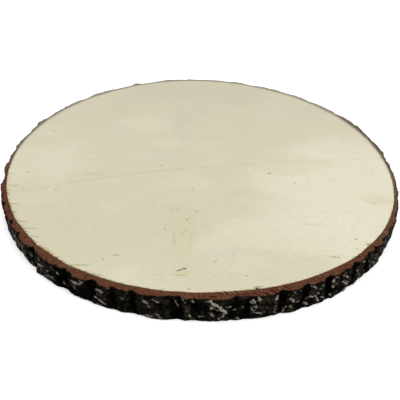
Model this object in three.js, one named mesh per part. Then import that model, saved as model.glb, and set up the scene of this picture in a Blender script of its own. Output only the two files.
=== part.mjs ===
// A round slice of pale wood with a bark edge, lying flat: a sawn disc of straight-grained wood, and the
// band of furrowed bark that goes round it. Both are cut off level above and below.
// Millimetres, +Z up. The origin is the middle of the underside, and the grain runs along X.
// Angles go round the slice in degrees, from +X towards +Y, so the near side is at 270.
import * as THREE from "three";

const discRadius = 144.5; // mean radius of the pale wood
const thickness = 19;
const jointGap = 0.3; // between the wood's sawn edge and the bark's inner face
const barkThickness = 4.6; // mean, from the wood to a plate's face
const leastBark = 1.8; // left behind the deepest furrow
const edgeWear = 0.5; // how far the bark's top and bottom corners are rubbed back
const depthAtTop = 0.7; // share of a furrow's depth that is left at the sawn top
const depthAtFoot = 0.4; // and at the foot, where the furrows run out
const liftAtFoot = 0.5; // share of a plate's lift that is left at the foot
const discSides = 240;
const barkSides = 540;
const barkLevels = [0, 1, 6.5, 12.5, 18, thickness];

// The sawn outline isn't quite round: each wave has this many crests, this height, and a crest at this
// angle.
const outlineWaves = [
  { crests: 2, height: 0.35, at: -39 },
  { crests: 3, height: 1.2, at: -27 },
  { crests: 4, height: 0.45, at: 50 },
  { crests: 5, height: 0.3, at: 28 },
];

// The bark is thicker on the near side and thinner left and right, in the same kind of waves.
const barkWaves = [
  { crests: 1, height: 0.35, at: 275 },
  { crests: 2, height: 0.5, at: 85 },
];

// At the foot it is thicker or thinner than at the top by this wave, which fades out on the way up.
const footWaves = [{ crests: 3, height: 0.8, at: 300 }];

// The furrows in order round the slice: angle at mid height, width, depth, how far the top leans round the
// slice from the bottom, and how much higher than the mean the plate before the next furrow stands.
const furrows = [
  [1.7, 5.0, 1.5, 0.6, 0.95],
  [11.3, 4.0, 1.0, -0.8, 0.75],
  [16.2, 2.8, 0.9, 1.0, 0.9],
  [19.0, 2.4, 0.6, 0.8, 2.6],
  [24.2, 3.2, 1.4, -0.6, 2.0],
  [33.0, 6.0, 1.9, 0.8, 0.9],
  [45.2, 5.0, 2.1, -1.0, 1.2],
  [55.6, 6.0, 2.4, 1.2, 1.1],
  [62.8, 3.4, 1.0, -0.6, 1.0],
  [70.0, 8.0, 2.8, 0.6, 1.0],
  [81.8, 4.2, 1.6, 1.0, 0.4],
  [88.0, 3.0, 0.7, -1.2, 0.1],
  [93.0, 6.0, 1.0, 0.8, 0.6],
  [97.3, 2.6, 1.1, -0.8, 1.3],
  [110.7, 7.0, 3.0, 0.8, 0.0],
  [114.2, 2.6, 0.9, 0.4, 2.7],
  [121.8, 12.0, 2.4, -1.0, 1.2],
  [139.5, 9.0, 2.0, 1.0, 0.9],
  [147.0, 2.6, 0.9, -0.6, 1.1],
  [151.0, 3.2, 0.7, 0.8, 0.4],
  [157.0, 7.0, 1.3, -0.8, 1.4],
  [165.5, 4.0, 1.0, 0.6, -0.3],
  [170.0, 6.5, 1.8, 0.8, -0.1],
  [180.0, 4.0, 1.0, -0.6, -0.3],
  [186.8, 2.6, 0.6, 0.8, 0.9],
  [194.8, 5.0, 1.8, 1.0, 0.5],
  [204.3, 2.8, 1.4, 0.5, 0.3],
  [208.4, 3.0, 1.2, -0.8, 0.2],
  [216.8, 4.4, 1.8, 1.2, 0.3],
  [221.9, 4.2, 2.1, 1.5, 0.7],
  [228.8, 5.4, 2.6, 1.6, 0.9],
  [239.3, 8.0, 2.6, 1.6, 1.1],
  [247.0, 5.6, 3.1, 1.4, 0.5],
  [252.6, 4.0, 1.5, -0.8, -0.6],
  [256.3, 5.0, 2.3, 0.6, 0.3],
  [262.6, 3.0, 0.8, -1.2, -0.4],
  [265.6, 7.0, 2.6, 0.8, -0.2],
  [269.8, 3.2, 1.3, -1.0, 0.5],
  [278.7, 4.6, 2.7, 1.2, -0.9],
  [281.4, 4.4, 2.2, -0.8, 0.7],
  [289.0, 5.4, 2.6, -0.6, 0.5],
  [294.7, 5.0, 2.6, -0.8, 0.5],
  [300.6, 5.2, 2.6, -0.6, 0.7],
  [305.4, 2.8, 1.0, 1.4, -0.4],
  [308.4, 4.6, 2.4, 2.0, 0.1],
  [313.7, 5.0, 1.6, 1.6, -0.1],
  [316.4, 2.6, 0.8, -1.0, 0.1],
  [321.4, 4.0, 1.3, 1.2, 0.1],
  [325.6, 4.0, 1.3, 0.8, 0.1],
  [332.0, 4.6, 1.9, 1.0, -0.3],
  [336.6, 2.6, 0.9, -0.8, -0.2],
  [341.2, 4.4, 1.3, 1.0, 0.3],
  [346.0, 3.2, 1.3, 0.8, 0.5],
  [351.0, 2.8, 0.8, -0.6, 0.6],
  [355.0, 4.2, 1.6, 0.8, 0.5],
].map(([at, width, depth, lean, lift]) => ({ at, width, depth, lean, lift }));

// Lumps on the plates: waves round the slice, waves up it in radians a millimetre, height, and where they
// start.
const lumps = [
  { round: 37, up: 0.31, height: 0.14, start: 2.1 },
  { round: 61, up: -0.43, height: 0.18, start: 0.4 },
  { round: 103, up: 0.57, height: 0.18, start: 4.4 },
];

const degrees = Math.PI / 180;

function smoothStep(x) {
  const t = Math.min(1, Math.max(0, x));
  return t * t * (3 - 2 * t);
}

// Sum of a list of waves at an angle.
function wavesAt(waves, angle) {
  let sum = 0;
  for (const { crests, height, at } of waves) sum += height * Math.cos(crests * (angle - at * degrees));
  return sum;
}

// Radius of the wood's sawn edge.
function outline(angle) {
  return discRadius + wavesAt(outlineWaves, angle);
}

// How far round the slice, in millimetres, a point lies from a furrow's line at its height.
function awayFrom(furrow, angle, z) {
  const turns = (angle / degrees - furrow.at) / 360;
  const apart = (turns - Math.round(turns)) * 360 * degrees * discRadius;
  return apart - furrow.lean * (z / thickness - 0.5);
}

// Share of a furrow's depth at a height: all of it half way up, and less towards either cut.
function depthShare(z) {
  const up = z / thickness;
  const atEnd = up < 0.5 ? depthAtFoot : depthAtTop;
  return atEnd + (1 - atEnd) * smoothStep(1 - Math.abs(2 * up - 1));
}

// Thickness of the bark: the mean with its waves, each plate raised or sunk between its two furrows, less
// the furrow that cuts deepest here, with the lumps, and with the corners worn.
function barkAt(angle, z) {
  let cut = 0;
  let plate = furrows[0];
  let sinceFurrow = Infinity;
  let toFurrow = Infinity;
  for (const furrow of furrows) {
    const away = awayFrom(furrow, angle, z);
    const side = Math.abs(away) / (furrow.width / 2);
    cut = Math.max(cut, furrow.depth * (1 - smoothStep((side - 0.4) / 0.8)));
    if (away >= 0 && away < sinceFurrow) {
      sinceFurrow = away;
      plate = furrow;
    }
    if (away < 0 && -away < toFurrow) toFurrow = -away;
  }
  const across = sinceFurrow / (sinceFurrow + toFurrow);
  const up = z / thickness;
  const lift = plate.lift * (liftAtFoot + (1 - liftAtFoot) * up);
  const raised = lift * Math.sqrt(Math.sin(Math.PI * across));
  let lumpy = 0;
  for (const lump of lumps) {
    lumpy += lump.height * Math.sin(lump.round * angle + lump.up * z + lump.start);
  }
  const worn = edgeWear * (1 - smoothStep(Math.min(z, thickness - z)));
  const waves = wavesAt(barkWaves, angle) + wavesAt(footWaves, angle) * (1 - up);
  const face = barkThickness + waves + raised + lumpy;
  return Math.max(leastBark, face - cut * depthShare(z) - worn);
}

function pointAt(angle, radius, z) {
  return new THREE.Vector3(radius * Math.cos(angle), radius * Math.sin(angle), z);
}

// One row of points all the way round, at radius(angle).
function rowAround(sides, z, radius) {
  const row = [];
  for (let i = 0; i < sides; i++) {
    const angle = (i / sides) * 2 * Math.PI;
    row.push(pointAt(angle, radius(angle), z));
  }
  return row;
}

// A closed ring of rows of points: each row is joined to the next, and the last to the first.
function ringGeometry(rows) {
  const sides = rows[0].length;
  const positions = rows.flat().flatMap((point) => point.toArray());
  const indices = [];
  rows.forEach((row, i) => {
    const here = i * sides;
    const above = ((i + 1) % rows.length) * sides;
    for (let j = 0; j < sides; j++) {
      const next = (j + 1) % sides;
      indices.push(here + j, here + next, above + next);
      indices.push(here + j, above + next, above + j);
    }
  });
  const geometry = new THREE.BufferGeometry();
  geometry.setAttribute("position", new THREE.Float32BufferAttribute(positions, 3));
  geometry.setIndex(indices);
  geometry.computeVertexNormals();
  return geometry;
}

// The pale disc: the sawn outline, carried straight up.
function woodDisc() {
  const edge = rowAround(discSides, 0, outline).map((point) => new THREE.Vector2(point.x, point.y));
  const geometry = new THREE.ExtrudeGeometry(new THREE.Shape(edge), {
    depth: thickness,
    bevelEnabled: false,
  });
  const paleWood = new THREE.MeshStandardMaterial({ color: 0xd9d3b9, roughness: 0.6, metalness: 0 });
  const mesh = new THREE.Mesh(geometry, paleWood);
  mesh.name = "wood_disc";
  return mesh;
}

// The bark: furrowed outside from bottom to top, level on top, smooth inside and level underneath.
function barkRing() {
  const inner = (angle) => outline(angle) + jointGap;
  const rows = barkLevels.map((z) =>
    rowAround(barkSides, z, (angle) => outline(angle) + barkAt(angle, z)),
  );
  rows.push(rowAround(barkSides, thickness, inner), rowAround(barkSides, 0, inner));
  const darkBark = new THREE.MeshStandardMaterial({ color: 0x2b231d, roughness: 0.95, metalness: 0 });
  const mesh = new THREE.Mesh(ringGeometry(rows), darkBark);
  mesh.name = "bark_ring";
  return mesh;
}

const woodSlice = new THREE.Group();
woodSlice.add(woodDisc(), barkRing());

export default woodSlice;
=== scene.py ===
import bpy
import math
import numpy as np
from mathutils import Matrix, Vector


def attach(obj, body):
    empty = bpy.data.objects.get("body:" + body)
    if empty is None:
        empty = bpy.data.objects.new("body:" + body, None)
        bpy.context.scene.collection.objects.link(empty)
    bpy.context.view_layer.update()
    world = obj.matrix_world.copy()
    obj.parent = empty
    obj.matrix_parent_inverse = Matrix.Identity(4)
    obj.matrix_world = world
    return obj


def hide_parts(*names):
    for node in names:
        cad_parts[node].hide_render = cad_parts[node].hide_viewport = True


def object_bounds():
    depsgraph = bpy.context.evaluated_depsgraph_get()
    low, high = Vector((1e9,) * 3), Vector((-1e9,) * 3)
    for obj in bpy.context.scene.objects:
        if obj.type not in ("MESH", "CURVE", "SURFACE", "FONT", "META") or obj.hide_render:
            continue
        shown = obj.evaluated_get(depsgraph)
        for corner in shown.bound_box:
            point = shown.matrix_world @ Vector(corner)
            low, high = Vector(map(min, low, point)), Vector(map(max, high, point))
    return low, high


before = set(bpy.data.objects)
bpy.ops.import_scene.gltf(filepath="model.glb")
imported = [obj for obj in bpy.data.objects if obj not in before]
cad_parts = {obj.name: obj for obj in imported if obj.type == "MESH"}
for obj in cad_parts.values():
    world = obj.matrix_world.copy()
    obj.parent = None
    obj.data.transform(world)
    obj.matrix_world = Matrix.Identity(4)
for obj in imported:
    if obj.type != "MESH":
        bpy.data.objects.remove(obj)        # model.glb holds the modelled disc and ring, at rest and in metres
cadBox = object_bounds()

# A round slice of pale straight-grained wood with a furrowed bark edge, lying flat.
# Surfaces are worked out in millimetres and turned to metres when they become a mesh.
# Angles go round the slice from +X towards +Y, so the near side is at 270 degrees.
mm = 0.001
fullTurn = 2 * math.pi
top = cadBox[1].z / mm      # height of the sawn face
girth = 147.0               # mm, the radius that distances round the bark are measured on


def ease(t):
    # 3t^2 - 2t^3, held between 0 and 1
    t = np.clip(t, 0.0, 1.0)
    return t * t * (3 - 2 * t)


def patchNoise(across, up, seed, columns=4096):
    # value noise from 0 to 1: a seeded number at each whole step, eased between them; across repeats
    # after the given number of columns
    table = np.random.default_rng(seed).random((columns, 97))
    left = np.floor(across).astype(int)
    below = np.floor(up).astype(int)
    a = ease(across - left)
    b = ease(up - below)
    left, right = left % columns, (left + 1) % columns
    below, above = below % 97, (below + 1) % 97
    low = table[left, below] * (1 - a) + table[right, below] * a
    high = table[left, above] * (1 - a) + table[right, above] * a
    return low * (1 - b) + high * b


def scales(across, up, seed, columns):
    # cells round seeded points: each place takes the nearest point's number, and how far it is from the
    # next cell is half of what the second nearest point is further away
    points = np.random.default_rng(seed).random((columns, 97, 3))
    column = np.floor(across).astype(int)
    row = np.floor(up).astype(int)
    nearest = np.full(across.shape, 9.0)
    second = np.full(across.shape, 9.0)
    number = np.zeros(across.shape)
    for i in (-1, 0, 1):
        for j in (-1, 0, 1):
            point = points[(column + i) % columns, (row + j) % 97]
            away = np.hypot(column + i + point[..., 0] - across, row + j + point[..., 1] - up)
            closer = away < nearest
            second = np.where(closer, nearest, np.minimum(second, away))
            number = np.where(closer, point[..., 2], number)
            nearest = np.where(closer, away, nearest)
    return number, (second - nearest) / 2


def solidPoints(node):
    # the points of a modelled node in millimetres, one row each
    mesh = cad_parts[node].data
    flat = np.empty(len(mesh.vertices) * 3, np.float32)
    mesh.vertices.foreach_get("co", flat)
    return flat.reshape(-1, 3).astype(float) / mm


def radiusOf(points, angles):
    # radius of a row of points at any angle, straight from each point to the next round the slice
    around = np.arctan2(points[:, 1], points[:, 0]) % fullTurn
    once = np.unique(np.round(around, 5), return_index=True)[1]
    reach = np.hypot(points[once, 0], points[once, 1])
    return np.interp(angles, around[once], reach, period=fullTurn)


def makePiece(name, rows, poles, node, traits):
    # rows of points round the slice become quads, each row joined to the next; with poles the first and
    # last rows close on one point each, and without them the last row joins the first
    count, sides = rows.shape[:2]
    points = rows.reshape(-1, 3)
    column = np.arange(sides)
    follow = (column + 1) % sides
    starts = np.arange(count - 1 if poles else count)[:, None] * sides
    ends = (starts + sides) % (count * sides)
    quads = np.stack([starts + column, ends + column, ends + follow, starts + follow], axis=-1)
    faces = quads.reshape(-1, 4).tolist()
    if poles:
        last = (count - 1) * sides
        points = np.vstack([points, rows[0].mean(axis=0), rows[-1].mean(axis=0)])
        centre = len(points) - 2
        faces += np.stack([np.full(sides, centre), column, follow], axis=1).tolist()
        faces += np.stack([np.full(sides, centre + 1), last + follow, last + column], axis=1).tolist()
    mesh = bpy.data.meshes.new(name)
    mesh.from_pydata((points * mm).tolist(), [], faces)
    mesh.polygons.foreach_set("use_smooth", np.ones(len(faces), bool))
    for trait, values in traits.items():
        layer = mesh.attributes.new(trait, "FLOAT", "POINT")
        flat = np.zeros(len(points), np.float32)
        flat[:values.size] = values.reshape(-1)
        layer.data.foreach_set("value", flat)
    mesh.validate()
    piece = bpy.data.objects.new(name, mesh)
    bpy.context.collection.objects.link(piece)
    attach(piece, "root")
    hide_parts(node)
    print(name, len(faces), "faces")
    return piece


discSolid = solidPoints("wood_disc")
ringSolid = solidPoints("bark_ring")


def woodEdge(angles):
    # the modelled disc's radius at any angle
    return radiusOf(discSolid, angles)


ringReach = np.hypot(ringSolid[:, 0], ringSolid[:, 1])
ringFace = ringSolid[ringReach > woodEdge(np.arctan2(ringSolid[:, 1], ringSolid[:, 0])) + 1]
ringLevels = np.unique(np.round(ringFace[:, 2], 2))


def barkEdge(angles, heights):
    # the modelled bark's outer radius: read at the solid's own levels, and in proportion between two levels
    radius = np.zeros(angles.shape)
    for low, high in zip(ringLevels[:-1], ringLevels[1:]):
        below = radiusOf(ringFace[np.abs(ringFace[:, 2] - low) < 0.02], angles)
        above = radiusOf(ringFace[np.abs(ringFace[:, 2] - high) < 0.02], angles)
        share = np.clip((heights - low) / (high - low), 0, 1)
        radius = np.where(heights >= low, below + (above - below) * share, radius)
    return radius


# degrees and mm: how far the joint between wood and bark wanders out from the solid's, below 0 inward
joint = [(0, 0.6), (15, 0.6), (30, 0.1), (45, -0.3), (60, -0.5), (110, -0.5), (122, -0.75), (150, -0.9),
         (165, -0.8), (180, -0.3), (192, 0.3), (204, 0.4), (210, 0.2), (217, 0.6), (220, 0.1), (226, 0.1),
         (229, 0.6), (232, 0.1), (236, 0), (240, 0.8), (243, 0.1), (247, 0.2), (253, 0.5), (257, 0.2),
         (262, 0.5), (266, 0.3), (272, 0.5), (276, 0), (280, 0.2), (285, 0.6), (296, 0.55), (300, 0.35),
         (304, 0.35), (309, 0.6), (313, 0.6), (315.5, 0.1), (318, 0.5), (324, 0.8), (336, 0.9), (348, 0.8)]


def byAngle(angles, table):
    # a list of (degrees, value) read at any angle, straight from each place to the next round the slice
    places, values = np.array(table).T
    return np.interp(np.degrees(angles), places, values, period=360)


def ovalGap(angles, heights, ovals):
    # mm to the nearest oval on the bark's face, below 0 inside: its scaled distance less 1, times its
    # smaller half; an oval is degrees, height, half width and half height
    gap = np.full(angles.shape, 4.0)
    for angle, height, halfWide, halfHigh in ovals:
        x = ((angles - math.radians(angle) + math.pi) % fullTurn - math.pi) * girth
        away = np.hypot(x / halfWide, (heights - height) / halfHigh)
        gap = np.minimum(gap, (away - 1) * min(halfWide, halfHigh))
    return gap


def strokeGap(angles, places, strokes):
    # distance in mm from every point to the edge of the nearest stroke, below 0 inside it, and how
    # strong that stroke is; a stroke is a width, a strength and a path of (degrees, mm) in straight steps
    gap = np.full(angles.shape, 4.0)
    strength = np.zeros(angles.shape)
    for width, power, path in strokes:
        for (fromAngle, fromPlace), (toAngle, toPlace) in zip(path[:-1], path[1:]):
            start = math.radians(fromAngle)
            x = ((angles - start + math.pi) % fullTurn - math.pi) * girth
            y = places - fromPlace
            stepX = (math.radians(toAngle) - start) * girth
            stepY = toPlace - fromPlace
            share = np.clip((x * stepX + y * stepY) / (stepX ** 2 + stepY ** 2), 0, 1)
            away = np.hypot(x - share * stepX, y - share * stepY) - width / 2
            strength = np.where(away < gap, power, strength)
            gap = np.minimum(gap, away)
    return gap, strength


# The disc of wood

wood = {
    "columns": 1200,
    # mm in from the rim, of the rings close to it
    "fromRim": [0, 0.15, 0.35, 0.6, 0.9, 1.25, 1.65, 2.1, 2.7, 3.4, 4.4, 5.8, 7.6, 10, 13, 17, 23, 31, 42],
    "rings": 16,            # from there to the middle
    "underRings": 3,        # every third ring is enough underneath
    "ragged": 0.3,          # mm that fibres are missing from the sawn edge
    "wave": 0.05,           # mm of unevenness that sanding left in the faces
    "tornDepth": 0.45,      # mm that torn fibres lie below the face
    "tornReach": 3.0,       # mm from the rim that they run in
    "chips": [              # x, y, length, width, depth in mm, where a corner broke out of the rim
        (107.4, -100.4, 3.6, 1.6, 0.8),
        (-132.6, -59.5, 3.0, 0.9, 0.6),
        (-121.5, -79.0, 3.4, 0.8, 0.6),
        (-60.5, -131.5, 5.0, 0.8, 0.5),
        (33.7, -139.6, 1.4, 0.8, 0.5),
        (29.5, -141.3, 2.4, 0.5, 0.4),
    ],
    # degrees and share: how much darker the far edge of the face is made
    "farEdgeDark": [(0, 0.05), (30, 0.35), (60, 0.6), (115, 0.6), (125, 0.5), (140, 0.4), (165, 0.1), (180, 0),
             (350, 0)],
    # degrees and mm: how far damp from the bark has crept in along the fibres
    "damp": [(0, 0.3), (40, 0.2), (140, 0.2), (175, 0.7), (195, 1.9), (215, 2.5), (235, 2.2), (250, 1.2),
             (265, 0.6), (284, 0.9), (292, 0.4), (320, 0.4), (350, 0.3)],
    # the noises on the face: mm along the grain, mm across it, seed
    "noises": {
        "fray": (2.4, 0.55, 11), "tearing": (14, 9, 12), "ragged": (1.2, 0.5, 13), "wave": (22, 6, 14),
    },
    "arris": 0.12,          # mm that the sharp edge is rubbed down
}


def woodNoise(x, y, name):
    # patchNoise over the face, with 900 steps added so that its places stay above 0 all over the disc
    along, across, seed = wood["noises"][name]
    return patchNoise(x / along + 900, y / across + 900, seed)


def sawnWood():
    # a closed disc: rings from the middle out over the face, down the sawn edge and back underneath;
    # height is the cut's height less sanding waves, and less torn fibres and chips close to the rim
    angles = np.arange(wood["columns"]) / wood["columns"] * fullTurn
    edge = woodEdge(angles) + byAngle(angles, joint)
    fromRim = np.array(wood["fromRim"])
    inward = np.linspace(1, 0, wood["rings"] + 1)[:-1]
    outer = edge[None, :] - fromRim[:, None]
    inner = outer[-1:] * inward[1:, None]
    reach = np.vstack([outer, inner])[::-1]
    rim = edge[None, :] - reach
    x = reach * np.cos(angles)
    y = reach * np.sin(angles)
    fray = woodNoise(x, y, "fray")
    tearing = ease((woodNoise(x, y, "tearing") - 0.45) / 0.3)
    nearRim = ease(1 - rim / wood["tornReach"])
    missing = wood["ragged"] * woodNoise(x, y, "ragged") * ease(1 - rim / 0.8)
    reach = reach - missing
    x = reach * np.cos(angles)
    y = reach * np.sin(angles)
    wave = wood["wave"] * woodNoise(x, y, "wave")
    sunk = wave + wood["tornDepth"] * nearRim * tearing * ease((fray - 0.45) / 0.35)
    for chipX, chipY, length, width, depth in wood["chips"]:
        away = np.hypot((x - chipX) / length, (y - chipY) / width)
        sunk = sunk + depth * ease(1.3 - away)
    arris = wood["arris"] * ease(1 - rim / 0.3)
    face = np.stack([x, y, top - sunk - arris], axis=-1)
    under = np.stack([x, y, wave + arris], axis=-1)[::-1]
    kept = np.r_[0:8, 8:len(under):wood["underRings"]]
    under = under[kept]
    sideHeights = np.array([top - 1.2, top * 0.6, top * 0.3, 1.2])
    side = np.stack(np.broadcast_arrays(x[-1], y[-1], sideHeights[:, None]), axis=-1)
    rows = np.concatenate([face, side, under])
    traits = {
        "toRim": np.concatenate([rim, np.zeros(side.shape[:2]), rim[::-1][kept]]),
        "torn": np.concatenate([sunk, np.zeros(side.shape[:2]), wave[::-1][kept]]),
        "damp": np.broadcast_to(byAngle(angles, wood["damp"]), rows.shape[:2]),
        "farEdgeDark": np.broadcast_to(byAngle(angles, wood["farEdgeDark"]), rows.shape[:2]),
    }
    return makePiece("sawn_wood", rows, True, "wood_disc", traits)


# The band of bark

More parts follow.
